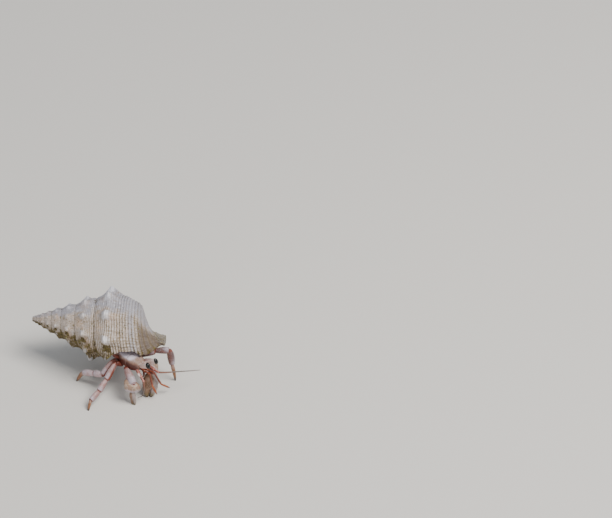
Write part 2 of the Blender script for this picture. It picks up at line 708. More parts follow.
def swept(name, path, girths, sides, steps):
    """A closed skin drawn along a smooth line through points, with its half thickness at each."""
    line = bpy.data.curves.new(name, "CURVE")
    line.dimensions = "3D"
    line.bevel_depth = 1
    line.bevel_resolution = sides // 4 - 1
    line.use_fill_caps = True
    line.resolution_u = steps
    spline = line.splines.new("BEZIER")
    spline.bezier_points.add(len(path) - 1)
    for knot, place, girth in zip(spline.bezier_points, path, girths):
        knot.co = place
        knot.radius = girth
        knot.handle_left_type = "AUTO"
        knot.handle_right_type = "AUTO"
    piece = bpy.data.objects.new(name, line)
    bpy.context.scene.collection.objects.link(piece)
    only(piece)
    bpy.ops.object.convert(target="MESH")
    close_up(piece)
    return piece


def soft_skin():
    """Moist skin in fine rings, brownish pink with paler dots."""
    material, shader, start = finish("soft_skin", 0.42, coat=0.3, coat_roughness=0.25)
    shader.inputs["Subsurface Weight"].default_value = 0.15
    shader.inputs["Subsurface Radius"].default_value = (0.4 * MM, 0.15 * MM, 0.1 * MM)
    place = place_in_mm(start)
    mottle = place.cloud(0.8, 4, 0.6)
    folds = place.stretched((1, 1, 3)).cloud(0.5, 3)
    colour = plain(start, (0.36, 0.17, 0.13))
    colour = colour.cover((0.5, 0.3, 0.24), mottle.within(0.5, 0.7))
    colour = colour.cover((0.2, 0.07, 0.06), folds.within(0.5, 0.36) * 0.7)
    lay(shader, "Base Color", colour)
    raised(shader, folds * 0.7 + mottle * 0.3, 0.12 * MM)
    return material


SOFT_SKIN = soft_skin()
to_crab = CRAB.inverted()
belly_path = WAIST + [to_crab @ shell_point(*place) for place in BELLY_TURNS]
rear = swept("soft_rear", belly_path, BELLY_GIRTH, sides=24, steps=12)
place_and_hand_over(rear, CRAB, SOFT_SKIN, "soft_body", "waist", "belly")


# ---- the eyes ----
# Long stalks, flattened from side to side, cream with fine dark dots, that spread a little. A glossy black
# eye caps each, and a small pointed scale lies over each root.
SIDES = {"R": -1, "L": 1}  # the crab's own, and the sign of its sideways axis
EYES = {
    "R": (Vector((3.3, -0.55, 9.25)), Vector((6.15, -0.6, 10.95))),
    "L": (Vector((3.3, 0.6, 9.25)), Vector((6.2, 2.0, 10.95))),
}
# share of the stalk, half width, half height
STALK_RINGS = [
    (-0.08, 0.2, 0.32), (0.0, 0.3, 0.5), (0.12, 0.35, 0.6), (0.3, 0.4, 0.69), (0.55, 0.44, 0.72),
    (0.78, 0.49, 0.78), (0.9, 0.52, 0.81), (0.97, 0.5, 0.78), (1.0, 0.42, 0.66), (1.0, 0.3, 0.45),
]
EYE_HALF = (0.57, 0.84, 0.62)  # across, up and along the stalk
# share of the scale or beak, half width, half height
EYE_SCALE_RINGS = [
    (-0.1, 0.3, 0.1), (0.1, 0.36, 0.16), (0.4, 0.3, 0.15), (0.75, 0.16, 0.1), (1.0, 0.05, 0.04),
]
BEAK_RINGS = [(-0.4, 0.5, 0.2), (0.0, 0.42, 0.18), (0.4, 0.26, 0.14), (0.8, 0.12, 0.09), (1.0, 0.04, 0.04)]


def dotted_stalk():
    """Cream-pink armour with fine dark red dots, rust-brown at the root and paler by the eye."""
    material, shader, start = finish("dotted_stalk", 0.35, coat=0.2, coat_roughness=0.25)
    place = place_in_mm(start)
    limb = limb_marks(start)
    mottle = place.cloud(0.5, 3)
    dots = place.spots(0.3)
    speck = place.spots(0.17)
    colour = plain(start, (0.64, 0.46, 0.41))
    colour = colour.cover((0.68, 0.59, 0.63), mottle.within(0.45, 0.62) * 0.8)
    dark = dots.within(0.36, 0.2) * 0.85 * place.cloud(0.45, 2).within(0.36, 0.5)
    colour = colour.cover((0.17, 0.045, 0.035), dark)
    colour = colour.cover((0.35, 0.15, 0.13), speck.within(0.26, 0.14) * 0.6)
    colour = colour.cover((0.5, 0.2, 0.12), limb.axis(2).within(0.1, -0.02) * 0.8)
    colour = colour.cover((0.72, 0.66, 0.64), limb.axis(2).within(0.88, 0.97) * 0.7)
    lay(shader, "Base Color", colour)
    raised(shader, mottle * 0.5 - dots.within(0.3, 0.1) * 0.3, 0.04 * MM)
    return material


def glossy_eye():
    """Near black, olive brown towards the rim, under a clear, wet gloss."""
    material, shader, start = finish("glossy_eye", 0.12, specular=0.2, coat=0.45, coat_roughness=0.02)
    limb = limb_marks(start)
    place = place_in_mm(start)
    facets = place.cloud(0.35, 3)
    rim = (limb.axis(2) * -1 + (facets - 0.5) * 0.5).within(-0.25, 0.35)
    colour = plain(start, (0.003, 0.003, 0.003)).cover((0.028, 0.03, 0.008), rim)
    colour = colour.cover((0.07, 0.065, 0.02), rim * facets.within(0.5, 0.7) * 0.6)
    lay(shader, "Base Color", colour)
    return material


DOTTED_STALK = dotted_stalk()
GLOSSY_EYE = glossy_eye()


def limb_plate(name, start, end, rings, up=(0, 0, 1), ahead=1):
    """A drawn-out piece of armour from joint to joint; heights in its rings are shares of its length."""
    length = (end - start).length
    piece = drawn_out(name, [(ring[0] * length, *ring[1:]) for ring in rings])
    finer(piece)
    mark_limb(piece, length, max(ring[1] for ring in rings) * ahead, max(ring[2] for ring in rings))
    return piece, along_limb(start, end, up)


def eye(side, root, tip):
    stalk, place = limb_plate(f"eyestalk_plate_{side}", root, tip, STALK_RINGS)
    place_and_hand_over(stalk, place, DOTTED_STALK, "eyestalks", f"eyestalk_{side}")

    bare()
    bpy.ops.mesh.primitive_uv_sphere_add(segments=40, ring_count=28, radius=1)
    ball = bpy.context.object
    ball.name = f"eyeball_{side}"
    mark_limb(ball, 1, 1, 1)
    in_edit()
    bpy.ops.transform.resize(value=EYE_HALF, center_override=(0, 0, 0))
    bpy.ops.object.mode_set(mode="OBJECT")
    sliced(ball, (0, 0, -0.12), (0, -0.22, 1))
    settle(ball, along_limb(tip, tip * 2 - root))
    bpy.ops.object.shade_smooth_by_angle(angle=math.radians(40))
    hand_over(ball, GLOSSY_EYE, "eyes", f"eye_{side}")


for side, (root, tip) in EYES.items():
    eye(side, root, tip)
for side, sign in SIDES.items():
    root = Vector((3.1, 0.42 * sign, 9.86))
    tip = Vector((4.35, 0.5 * sign, 10.32))
    scale, place = limb_plate(f"eye_scale_{side}", root, tip, EYE_SCALE_RINGS)
    place_and_hand_over(scale, place, DOTTED_STALK, "eyestalks")
beak, place = limb_plate("shield_beak", Vector((3.15, 0, 9.86)), Vector((3.85, 0, 9.86)), BEAK_RINGS)
place_and_hand_over(beak, place, SHIELD_ARMOUR, "armour")


# ---- feelers ----
# The outer pair: a stem of three rings of armour, with a pointed scale beside it, that carries a long whip.
# The inner pair, orange-red and thin, bends at an elbow and ends in a blunt lash with a dark tip.
STEMS = {
    "R": [(2.7, -1.3, 8.5), (3.9, -1.55, 7.9), (4.8, -1.65, 7.2), (5.65, -1.7, 6.25)],
    "L": [(2.7, 1.3, 8.6), (4.2, 1.7, 8.35), (5.6, 2.0, 8.0), (7.05, 2.3, 7.7)],
}
WHIPS = {
    "R": [(5.6, -1.7, 6.3), (5.95, -1.9, 4.8), (5.7, -1.9, 3.0), (4.9, -1.8, 1.4), (3.6, -2.0, 0.35)],
    "L": [(7.0, 2.3, 7.7), (8.3, 3.6, 7.7), (9.6, 6.2, 7.2), (10.6, 9.4, 6.2), (11.0, 12.6, 4.9)],
}
LASHES = {
    "R": [(3.1, -0.35, 8.4), (5.7, 0.35, 7.6), (6.5, 0.4, 4.3), (7.2, 1.2, 1.6)],
    "L": [(3.1, 0.35, 8.4), (6.3, 1.35, 7.7), (7.1, 2.8, 3.8), (7.6, 5.2, 1.6)],
}
# share of the ring of armour, half width, half height: waisted, and flared where it takes the next
STEM_RINGS = [
    (-0.12, 0.7, 0.75), (0.0, 0.82, 0.86), (0.2, 0.84, 0.88), (0.6, 0.92, 0.96), (0.86, 1.06, 1.08),
    (0.97, 1.0, 1.02), (1.0, 0.85, 0.88), (0.96, 0.6, 0.62),
]
STEM_GIRTHS = [(0.44, 0.52), (0.38, 0.46), (0.3, 0.34)]
WHIP_GIRTHS = [0.24, 0.2, 0.16, 0.12, 0.07]
INNER_GIRTHS = [(0.32, 0.36), (0.28, 0.31), (0.235, 0.25)]
BLADE_RINGS = [(-0.1, 0.22, 0.16), (0.1, 0.3, 0.22), (0.5, 0.24, 0.17), (0.85, 0.12, 0.09), (1.0, 0.03, 0.03)]


def feeler_armour(name, body, ridge, rim):
    """Dark red down the sides, with a paler ridge on top and a pink rim where one ring takes the next."""
    material, shader, start = finish(name, 0.33, coat=0.25, coat_roughness=0.2)
    place = place_in_mm(start)
    limb = limb_marks(start)
    share = limb.axis(2)
    mottle = place.cloud(0.4, 3)
    colour = plain(start, body).cover((0.07, 0.016, 0.012), mottle.within(0.48, 0.34) * 0.8)
    colour = colour.cover(ridge, (limb.axis(1) + (mottle - 0.5) * 0.8).within(0.1, 0.65) * 0.85)
    colour = colour.cover(rim, share.within(0.8, 0.95) * limb.axis(1).within(-0.9, -0.2) * 0.8)
    lay(shader, "Base Color", colour)
    raised(shader, mottle, 0.04 * MM)
    return material


def whip_horn():
    """Ringed whip, orange-brown at the root and grey-brown to its tip."""
    material, shader, start = finish("whip_horn", 0.4, coat=0.1)
    place = place_in_mm(start)
    share = limb_marks(start).axis(2)
    ringed = share.wave(70)
    colour = plain(start, (0.26, 0.09, 0.05)).cover((0.19, 0.155, 0.14), share.within(0.08, 0.4))
    colour = colour.cover((0.06, 0.035, 0.03), ringed.within(0.35, 0.0) * 0.8)
    worn = place.cloud(1.5, 2).within(0.45, 0.6)
    colour = colour.cover((0.4, 0.3, 0.25), ringed.within(0.7, 1.0) * worn * 0.5)
    lay(shader, "Base Color", colour)
    raised(shader, ringed, 0.03 * MM)
    return material


def lash_horn():
    """Orange-red, darker at the elbow, with a dark brown tip."""
    material, shader, start = finish("lash_horn", 0.35, coat=0.2, coat_roughness=0.2)
    place = place_in_mm(start)
    share = limb_marks(start).axis(2)
    ringed = share.wave(26)
    mottle = place.cloud(0.5, 3)
    colour = plain(start, (0.38, 0.09, 0.014)).cover((0.22, 0.038, 0.012), mottle.within(0.45, 0.6) * 0.7)
    colour = colour.cover((0.07, 0.03, 0.02), share.within(0.7, 1.0) * 0.9)
    colour = colour.cover((0.2, 0.04, 0.015), ringed.within(0.3, 0.0) * share.within(0.02, 0.1) * 0.5)
    lay(shader, "Base Color", colour)
    raised(shader, ringed * 0.5 + mottle * 0.5, 0.03 * MM)
    return material


FEELER_ARMOUR = feeler_armour(
    "feeler_armour", body=(0.16, 0.02, 0.013), ridge=(0.50, 0.2, 0.165), rim=(0.60, 0.23, 0.2)
)
INNER_ARMOUR = feeler_armour(
    "inner_feeler_armour", body=(0.13, 0.02, 0.01), ridge=(0.2, 0.04, 0.013), rim=(0.36, 0.09, 0.03)
)
WHIP_HORN = whip_horn()
LASH_HORN = lash_horn()


def vectors(places):
    return [Vector(place) for place in places]


def mark_sweep(piece, path):
    """Mark each point with its share of the way along the path it was swept on."""
    legs = list(zip(path, path[1:]))
    total = sum((b - a).length for a, b in legs)
    marks = []
    for point in piece.data.vertices:
        nearest = (1e9, 0)
        gone = 0
        for a, b in legs:
            leg = b - a
            share = min(max((point.co - a).dot(leg) / leg.length_squared, 0), 1)
            nearest = min(nearest, ((point.co - a - leg * share).length, gone + share * leg.length))
            gone += leg.length
        marks.append((0, 0, nearest[1] / total))
    mark_points(piece, marks)


def joined(name, pieces):
    only(*pieces)
    bpy.ops.object.join()
    pieces[0].name = name
    pieces[0].data.name = name
    return pieces[0]


def armour_rings(name, path, girths, up=(0, 0, 1)):
    """A row of armour rings from point to point of a path, joined."""
    made = []
    for count, (start, end, (wide, deep)) in enumerate(zip(path, path[1:], girths)):
        sized = [(share, wide * half_wide, deep * half_deep) for share, half_wide, half_deep in STEM_RINGS]
        ring, place = limb_plate(f"{name}_{count}", start, end, sized, up)
        settle(ring, place)
        made.append(ring)
    return joined(name, made)


for side, sign in SIDES.items():
    stem = vectors(STEMS[side])
    stem_armour = armour_rings(f"feeler_rings_{side}", stem, STEM_GIRTHS)
    smooth_and_hand_over(stem_armour, FEELER_ARMOUR, "feelers", f"feeler_stem_{side}")

    beside = Vector((0.1, 0.42 * sign, 0.3))
    blade, place = limb_plate(f"feeler_scale_{side}", stem[1] + beside, stem[2] + beside * 1.2, BLADE_RINGS)
    place_and_hand_over(blade, place, DOTTED_STALK, "feelers")

    route = vectors(WHIPS[side])
    whip = swept(f"feeler_lash_{side}", route, WHIP_GIRTHS, sides=12, steps=14)
    mark_sweep(whip, route)
    place_and_hand_over(whip, CRAB, WHIP_HORN, "feelers", f"feeler_whip_{side}")

    root, bend, elbow, tip = vectors(LASHES[side])
    arm_path = [root, root.lerp(bend, 0.5), bend, elbow]
    arm = armour_rings(f"inner_feeler_{side}", arm_path, INNER_GIRTHS)
    smooth_and_hand_over(arm, INNER_ARMOUR, "feelers", f"lash_stem_{side}")

    thick_path = [elbow, elbow.lerp(tip, 0.35), elbow.lerp(tip, 0.75), tip]
    thick = swept(f"inner_lash_{side}", thick_path, [0.2, 0.26, 0.24, 0.12], sides=12, steps=10)
    mark_sweep(thick, [elbow, tip])
    thin_tip = elbow.lerp(tip, 0.62) + Vector((-0.25, 0.1 * sign, -0.3))
    thin_path = [elbow, elbow.lerp(thin_tip, 0.5) + Vector((-0.1, 0, -0.1)), thin_tip]
    thin = swept(f"thin_lash_{side}", thin_path, [0.1, 0.08, 0.04], sides=8, steps=8)
    mark_sweep(thin, [elbow, thin_tip])
    lash = joined(f"inner_lash_{side}", [thick, thin])
    place_and_hand_over(lash, CRAB, LASH_HORN, "feelers", f"lash_tip_{side}")


# ---- mouth legs ----
# The outermost pair of mouth legs, folded down over the mouth: three rings of dark red armour each, fringed
# with stiff bristles on their inner edge.
JAW_GIRTHS = [(0.32, 0.42), (0.3, 0.36), (0.25, 0.28), (0.17, 0.19)]
BRISTLE_GIRTH = 0.022


def bristle_fringe(name, path, count, length, lean):
    """Stiff bristles in a row along a path: thin four-sided spikes, with their length and lean varied."""
    points = []
    faces = []
    for i in range(count):
        share = (i + 0.5) / count * (len(path) - 1)
        leg = min(int(share), len(path) - 2)
        root = path[leg].lerp(path[leg + 1], share - leg)
        sway = noise.noise_vector(root * 3.1 + Vector((i * 1.7, 0, 0))) * 0.35
        tip = root + (lean + sway) * length * (0.8 + 0.4 * abs(math.sin(i * 2.4)))
        across = (tip - root).orthogonal().normalized() * BRISTLE_GIRTH
        over = across.cross((tip - root).normalized())
        first = len(points)
        points += [root + across, root + over, root - across, root - over, tip]
        faces += [(first + k, first + (k + 1) % 4, first + 4) for k in range(4)]
        faces.append((first + 3, first + 2, first + 1, first))
    fringe = new_piece(name, points, faces)
    mark_points(fringe, [(0, 0, 0.9)] * len(points))
    return fringe


for side, sign in SIDES.items():
    path = vectors([
        (2.35, 0.75 * sign, 7.5), (3.05, 0.75 * sign, 7.08), (3.4, 0.65 * sign, 6.4),
        (3.36, 0.5 * sign, 5.85), (3.2, 0.42 * sign, 5.45),
    ])
    jaw = armour_rings(f"mouth_rings_{side}", path, JAW_GIRTHS, up=(0, 1, 0))
    inner = [place + Vector((0.05, -0.22 * sign, 0)) for place in path[1:]]
    fringe = bristle_fringe(f"mouth_bristles_{side}", inner, 26, 0.5, Vector((0.1, -0.8 * sign, -0.5)))
    settle(fringe, CRAB)
    jaw = joined(f"mouth_rings_{side}", [jaw, fringe])
    smooth_and_hand_over(jaw, RED_ARMOUR, "feelers", f"mouth_leg_{side}")


# ---- walking legs ----
# Each leg is five pieces of hard armour from hip to toe. Every piece is narrow where it turns in the one
# before, and flares to a rust-red rim where it takes the next. The upper edges bear a row of small blunt
# teeth.
LEGS = {
    "leg2_R": [
        (-2.0, -1.5, 7.5), (-2.95, -3.05, 8.2), (-2.85, -6.4, 4.95), (-2.5, -9.4, 3.1), (-2.3, -12.5, 2.0),
        (-1.75, -13.9, -0.2),
    ],
    "leg3_R": [
        (-3.2, -1.3, 7.9), (-4.35, -2.6, 7.95), (-5.1, -5.5, 4.7), (-7.6, -6.1, 4.2), (-10.9, -7.0, 3.2),
        (-12.7, -7.7, -0.2),
    ],
    "leg2_L": [
        (-1.7, 1.5, 7.6), (-1.0, 2.9, 8.4), (1.5, 6.3, 9.3), (4.0, 8.9, 9.4), (4.4, 9.3, 4.9),
        (5.0, 9.7, -0.2),
    ],
    "leg3_L": [
        (-3.2, 1.3, 7.9), (-4.4, 2.8, 7.7), (-7.3, 5.7, 5.4), (-9.6, 6.9, 4.3), (-12.5, 7.6, 3.2),
        (-14.6, 8.2, -0.2),
    ],
}
# share of the piece, half width, half height, and how far its middle is pushed aside and up
HIP_RINGS = [
    (-0.1, 0.42, 0.5), (0.1, 0.5, 0.6), (0.4, 0.56, 0.66), (0.8, 0.62, 0.74), (0.95, 0.58, 0.7),
    (1.0, 0.45, 0.55), (0.92, 0.3, 0.4),
]
THIGH_RINGS = [
    (-0.06, 0.33, 0.46), (0.0, 0.44, 0.59), (0.07, 0.51, 0.75, 0, 0.03), (0.22, 0.61, 0.92, 0, 0.08),
    (0.45, 0.66, 1.04, 0, 0.08), (0.68, 0.69, 1.1, 0, 0.03), (0.84, 0.68, 1.06), (0.94, 0.66, 0.97),
    (0.985, 0.59, 0.88), (0.985, 0.48, 0.73), (0.9, 0.37, 0.55),
]
KNEE_RINGS = [
    (-0.08, 0.3, 0.41), (-0.02, 0.41, 0.55), (0.07, 0.5, 0.66, 0, 0.03), (0.25, 0.62, 0.84, 0, 0.08),
    (0.5, 0.71, 0.95, 0, 0.06), (0.75, 0.75, 0.98, 0, 0.02), (0.9, 0.73, 0.93), (0.97, 0.66, 0.84),
    (0.975, 0.52, 0.68), (0.88, 0.39, 0.52),
]
SHIN_RINGS = [
    (-0.08, 0.32, 0.41), (-0.02, 0.43, 0.55), (0.08, 0.55, 0.73, 0, 0.03), (0.28, 0.64, 0.91, 0, 0.05),
    (0.5, 0.66, 0.95, 0, 0.03), (0.75, 0.63, 0.87), (0.9, 0.58, 0.78), (0.97, 0.52, 0.68),
    (0.975, 0.43, 0.55), (0.9, 0.32, 0.41),
]
TOE_RINGS = [
    (-0.08, 0.23, 0.3), (-0.01, 0.34, 0.42), (0.1, 0.4, 0.52), (0.35, 0.4, 0.49, 0, 0.06),
    (0.6, 0.35, 0.4, 0, 0.08), (0.8, 0.28, 0.31, 0, 0.05), (0.93, 0.2, 0.21), (1.0, 0.15, 0.16),
]
LEG_PIECES = {
    "hip": HIP_RINGS, "thigh": THIGH_RINGS, "knee": KNEE_RINGS, "shin": SHIN_RINGS, "toe": TOE_RINGS,
}
# degrees round the piece from its outer side over the top, first and last share, count, height
LEG_TEETH = {
    "thigh": [
        (82, 0.2, 0.9, 13, 0.16), (103, 0.4, 0.93, 9, 0.12), (60, 0.3, 0.93, 8, 0.08),
        (-70, 0.3, 0.93, 10, 0.13),
    ],
    "knee": [
        (88, 0.12, 0.9, 10, 0.17), (62, 0.2, 0.9, 8, 0.1), (120, 0.25, 0.9, 8, 0.11),
        (35, 0.3, 0.9, 6, 0.08),
    ],
    "shin": [
        (88, 0.1, 0.9, 11, 0.14), (65, 0.15, 0.9, 9, 0.09), (115, 0.2, 0.9, 8, 0.09),
        (-80, 0.3, 0.9, 8, 0.09),
    ],
    "toe": [(90, 0.08, 0.65, 8, 0.08), (60, 0.1, 0.6, 7, 0.06), (-90, 0.12, 0.72, 9, 0.08)],
}


def pale_armour(name, margin, root_red, rim=(0.91, 2), tint=(0.37, 0.225, 0.22), light=(0.47, 0.345, 0.37)):
    """Pinkish lilac armour, blue-white where it swells, browner below, with dark dots, pale teeth and a
    rust-red rim. margin is how red its front edge is, root_red how red the end nearest the body."""
    material, shader, start = finish(name, 0.38, coat=0.2, coat_roughness=0.3)
    place = place_in_mm(start)
    limb = limb_marks(start)
    share = limb.axis(2)
    up = limb.axis(1)
    mottle = place.cloud(0.8, 4, 0.6)
    grain = place.cloud(0.2, 3)
    dots = place.spots(0.5)
    colour = plain(start, tint).cover(light, mottle.within(0.48, 0.64) * 0.85)
    colour = colour.cover((0.34, 0.17, 0.145), mottle.within(0.46, 0.32) * 0.7)
    swell = (share + (mottle - 0.5) * 0.4).within(0.5, 0.85) * up.within(-0.5, 0.2)
    colour = colour.cover((0.46, 0.425, 0.50), swell * 0.7)
    colour = colour.cover((0.2, 0.09, 0.05), (up + (mottle - 0.5) * 0.9).within(-0.2, -0.8) * 0.85)
    colour = colour.cover((0.62, 0.55, 0.56), grain.within(0.57, 0.7) * 0.4)
    colour = colour.cover((0.2, 0.07, 0.06), dots.within(0.22, 0.12) * grain.within(0.46, 0.55) * 0.6)
    front = (limb.axis(0) + (mottle - 0.5) * 1.1).within(0.6, 0.88) * up.within(0.6, 0.2)
    colour = colour.cover((0.19, 0.032, 0.008), front * margin)
    edge = share + (grain - 0.5) * 0.05
    edge = edge.within(rim[0], rim[0] + 0.04) * edge.within(rim[1] + 0.03, rim[1])
    root = (share + (grain - 0.5) * 0.1).within(0.1, 0.02)
    colour = colour.cover((0.20, 0.045, 0.016), edge * 0.8)
    colour = colour.cover((0.2, 0.035, 0.013), root * root_red)
    colour = colour.cover((0.62, 0.55, 0.54), up.within(1.2, 1.4) * 0.7)
    lay(shader, "Base Color", colour)
    raised(shader, grain * 0.6 + mottle * 0.4 - dots.within(0.25, 0.1) * 0.3, 0.07 * MM)
    return material


def claw_horn():
    """Horn of the toes: golden brown, nearly black at the tip."""
    material, shader, start = finish("claw_horn", 0.3, coat=0.3, coat_roughness=0.2)
    place = place_in_mm(start)
    share = limb_marks(start).axis(2)
    streak = place.stretched((2, 2, 0.7)).cloud(0.6, 4)
    colour = plain(start, (0.21, 0.09, 0.035))
    colour = colour.cover((0.38, 0.24, 0.20), (share + (streak - 0.5) * 0.3).within(0.3, 0.05) * 0.85)
    colour = colour.cover((0.3, 0.11, 0.04), streak.within(0.48, 0.62) * 0.7)
    colour = colour.cover((0.035, 0.02, 0.015), (share + (streak - 0.5) * 0.3).within(0.62, 0.92))
    lay(shader, "Base Color", colour)
    raised(shader, streak, 0.05 * MM)
    return material


def tooth_shape():
    """One blunt tooth, 1 high and 1 across, that leans forward; the others are copies of it."""
    rings = [(-0.35, 0.5, 0.5), (0.3, 0.4, 0.36), (0.7, 0.24, 0.2, 0, 0.12), (1.0, 0.08, 0.07, 0, 0.28)]
    return drawn_out("tooth", rings, 6)


THIGH_ARMOUR = pale_armour("thigh_armour", 0.95, 0.9)
PALE_ARMOUR = pale_armour("pale_armour", 0.3, 0.8)
PURPLE_ARMOUR = pale_armour("purple_armour", 0.3, 0.8, (0.91, 2), (0.12, 0.07, 0.068), (0.18, 0.12, 0.13))
LILAC_ARMOUR = pale_armour("lilac_armour", 0.2, 0.8, (0.91, 2), (0.55, 0.41, 0.44), (0.68, 0.58, 0.64))
ARM_ARMOUR = pale_armour("arm_armour", 0.4, 0.8, (1.0, 1.04), (0.31, 0.18, 0.17), (0.42, 0.30, 0.32))
WRIST_ARMOUR = pale_armour("wrist_armour", 0.0, 0.0, (1.02, 2), (0.27, 0.165, 0.105), (0.44, 0.33, 0.26))
CLAW_HORN = claw_horn()
tooth = tooth_shape()


def ring_at(rings, share, which):
    return along([(ring[0], ring[which] if which < len(ring) else 0) for ring in sorted(rings)], share)


def toothed(piece, rings, length, rows):
    """Rows of teeth set into a piece that still lies along +Z: copies of the one tooth, joined to it."""
    teeth = []
    for degrees, first, last, count, height in rows:
        turned = math.radians(degrees)
        for i in range(count):
            share = mix(first, last, i / max(count - 1, 1))
            half_wide = ring_at(rings, share, 1)
            half_deep = ring_at(rings, share, 2)
            height_off = half_deep * math.sin(turned) + ring_at(rings, share, 4)
            foot = Vector((half_wide * math.cos(turned), height_off, share * length))
            out = Vector((math.cos(turned) / half_wide, math.sin(turned) / half_deep, 0)).normalized()
            across = Vector((0, 0, 1)).cross(out)
            size = height * (0.55 + 0.45 * abs(math.sin(i * 1.9 + degrees)))
            turn = Matrix((across, Vector((0, 0, 1)), out)).transposed().to_4x4()
            copy = tooth.copy()
            copy.data = tooth.data.copy()
            bpy.context.scene.collection.objects.link(copy)
            copy.data.transform(Matrix.Translation(foot) @ turn @ Matrix.Scale(size, 4))
            mark_points(copy, [(0, 1.6, share)] * len(copy.data.vertices))
            teeth.append(copy)
    return joined(piece.name, [piece, *teeth])


def stand(piece):
    """Cut a piece flat where it meets the floor."""
    sliced(piece, (0, 0, 0), (0, 0, 1))


def armour_piece(name, start, end, rings, teeth=(), up=(0, 0, 1), ahead=1):
    piece, place = limb_plate(name, start, end, rings, up, ahead=ahead)
    if teeth:
        piece = toothed(piece, rings, (end - start).length, teeth)
    settle(piece, place)
    bpy.ops.object.shade_smooth()
    return piece


LEG_FINISHES = {
    "hip": (RED_ARMOUR, "armour_red"),
    "thigh": (THIGH_ARMOUR, "armour"),
    "knee": (PALE_ARMOUR, "armour"),
    "shin": (PALE_ARMOUR, "armour"),
    "toe": (CLAW_HORN, "claw_tips"),
}
for leg, joints in LEGS.items():
    joints = vectors(joints)
    for (part, rings), start, end in zip(LEG_PIECES.items(), joints, joints[1:]):
        ahead = 1 if leg.endswith("R") else -1
        piece = armour_piece(f"{leg}_{part}_plate", start, end, rings, LEG_TEETH.get(part, ()), ahead=ahead)
        if part == "toe":
            stand(piece)
        material, slot = LEG_FINISHES[part]
        if leg == "leg2_L" and part in ("thigh", "knee", "shin"):
            material = PURPLE_ARMOUR
        elif leg == "leg3_R" and part in ("knee", "shin"):
            material = LILAC_ARMOUR
        hand_over(piece, material, slot, f"{leg}_{part}")


# ---- pincers ----
# The left is much the larger. The wrist is a broad, swollen cap; the hand ends in a fixed finger, and the
# other finger closes on it with a row of white teeth.
PINCERS = {
    "R": [(0.2, -1.5, 7.5), (0.3, -2.6, 8.1), (3.7, -3.55, 5.7), (3.7, -4.0, 3.6), (4.7, -4.3, -0.3)],
    "L": [(0.3, 1.5, 7.5), (1.0, 2.8, 7.8), (3.2, 4.4, 7.1), (4.2, 2.5, 6.2), (5.0, 0.4, -0.3)],
}
ARM_RINGS = {
    "R": {
        "hip": HIP_RINGS,
        "upper": [
            (-0.05, 0.38, 0.5), (0.0, 0.5, 0.66), (0.1, 0.68, 0.86), (0.28, 0.9, 1.12), (0.5, 1.04, 1.26),
            (0.72, 1.1, 1.3), (0.88, 1.08, 1.24), (0.99, 0.98, 1.1), (1.06, 0.78, 0.88), (1.1, 0.45, 0.5),
        ],
        "wrist": [
            (-0.34, 0.7, 0.3, -1.1, -0.5), (-0.28, 1.1, 0.5, -0.95, -0.46),
            (-0.12, 1.6, 0.75, -0.65, -0.34), (0.08, 1.95, 0.98, -0.25, -0.08),
            (0.25, 2.08, 1.12, -0.1, 0.06), (0.5, 2.12, 1.14, 0, 0.08), (0.75, 2.02, 1.1, 0, 0.04),
            (0.93, 1.82, 1.0), (1.03, 1.5, 0.8), (1.05, 1.15, 0.62), (0.94, 0.8, 0.45),
        ],
    },
    "L": {
        "hip": HIP_RINGS,
        "upper": [
            (-0.05, 0.4, 0.5), (0.0, 0.52, 0.66), (0.12, 0.68, 0.9), (0.4, 0.88, 1.18), (0.65, 0.95, 1.28),
            (0.85, 0.98, 1.24), (0.97, 0.9, 1.12), (1.04, 0.7, 0.88), (1.07, 0.4, 0.5),
        ],
        "wrist": [
            (-0.22, 0.6, 0.7), (-0.1, 0.85, 1.0), (0.08, 1.08, 1.28), (0.35, 1.28, 1.48),
            (0.62, 1.34, 1.54), (0.86, 1.26, 1.46), (1.0, 1.1, 1.26), (1.06, 0.85, 0.98), (0.96, 0.6, 0.7),
        ],
    },
}
ARM_FINISHES = {"hip": RED_ARMOUR, "upper": ARM_ARMOUR, "wrist": WRIST_ARMOUR}
ARM_UP = {"R": {"wrist": (0.743, -0.669, 0)}, "L": {}}
ARM_TEETH = {
    "upper": [
        (88, 0.2, 0.93, 12, 0.16), (60, 0.45, 0.9, 7, 0.1), (20, 0.4, 0.92, 8, 0.12),
        (-60, 0.4, 0.92, 8, 0.12),
    ],
    "wrist": [
        (90, 0.3, 0.93, 5, 0.16), (50, 0.25, 0.93, 6, 0.15), (130, 0.25, 0.93, 6, 0.15),
        (15, 0.2, 0.9, 6, 0.13), (70, 0.4, 0.9, 4, 0.12), (110, 0.4, 0.9, 4, 0.12),
        (165, 0.2, 0.9, 6, 0.13),
    ],
}
OUTWARD = {"R": Vector((0.2, -1, 0.1)), "L": Vector((0.8, -0.6, 0.15))}
HAND_SIZE = {"R": 0.78, "L": 1.72}
# share of the hand, then half thickness, half breadth and push towards the finger, over its size
PALM_RINGS = [
    (-0.05, 0.28, 0.36, 0), (0.0, 0.42, 0.56, 0), (0.06, 0.58, 0.8, 0), (0.17, 0.74, 1.05, 0),
    (0.3, 0.82, 1.2, 0), (0.42, 0.8, 1.24, 0), (0.5, 0.72, 1.12, 0.04), (0.56, 0.62, 0.86, 0.26),
    (0.64, 0.53, 0.62, 0.48), (0.76, 0.45, 0.5, 0.5), (0.86, 0.36, 0.38, 0.42), (0.94, 0.26, 0.27, 0.33),
    (0.99, 0.17, 0.17, 0.26),
]
FINGER_RINGS = [
    (0.4, 0.3, 0.3, -0.58), (0.45, 0.46, 0.46, -0.63), (0.53, 0.54, 0.55, -0.62), (0.66, 0.5, 0.51, -0.57),
    (0.78, 0.43, 0.43, -0.49), (0.88, 0.34, 0.34, -0.38), (0.95, 0.25, 0.24, -0.29),
    (0.99, 0.16, 0.16, -0.23),
]


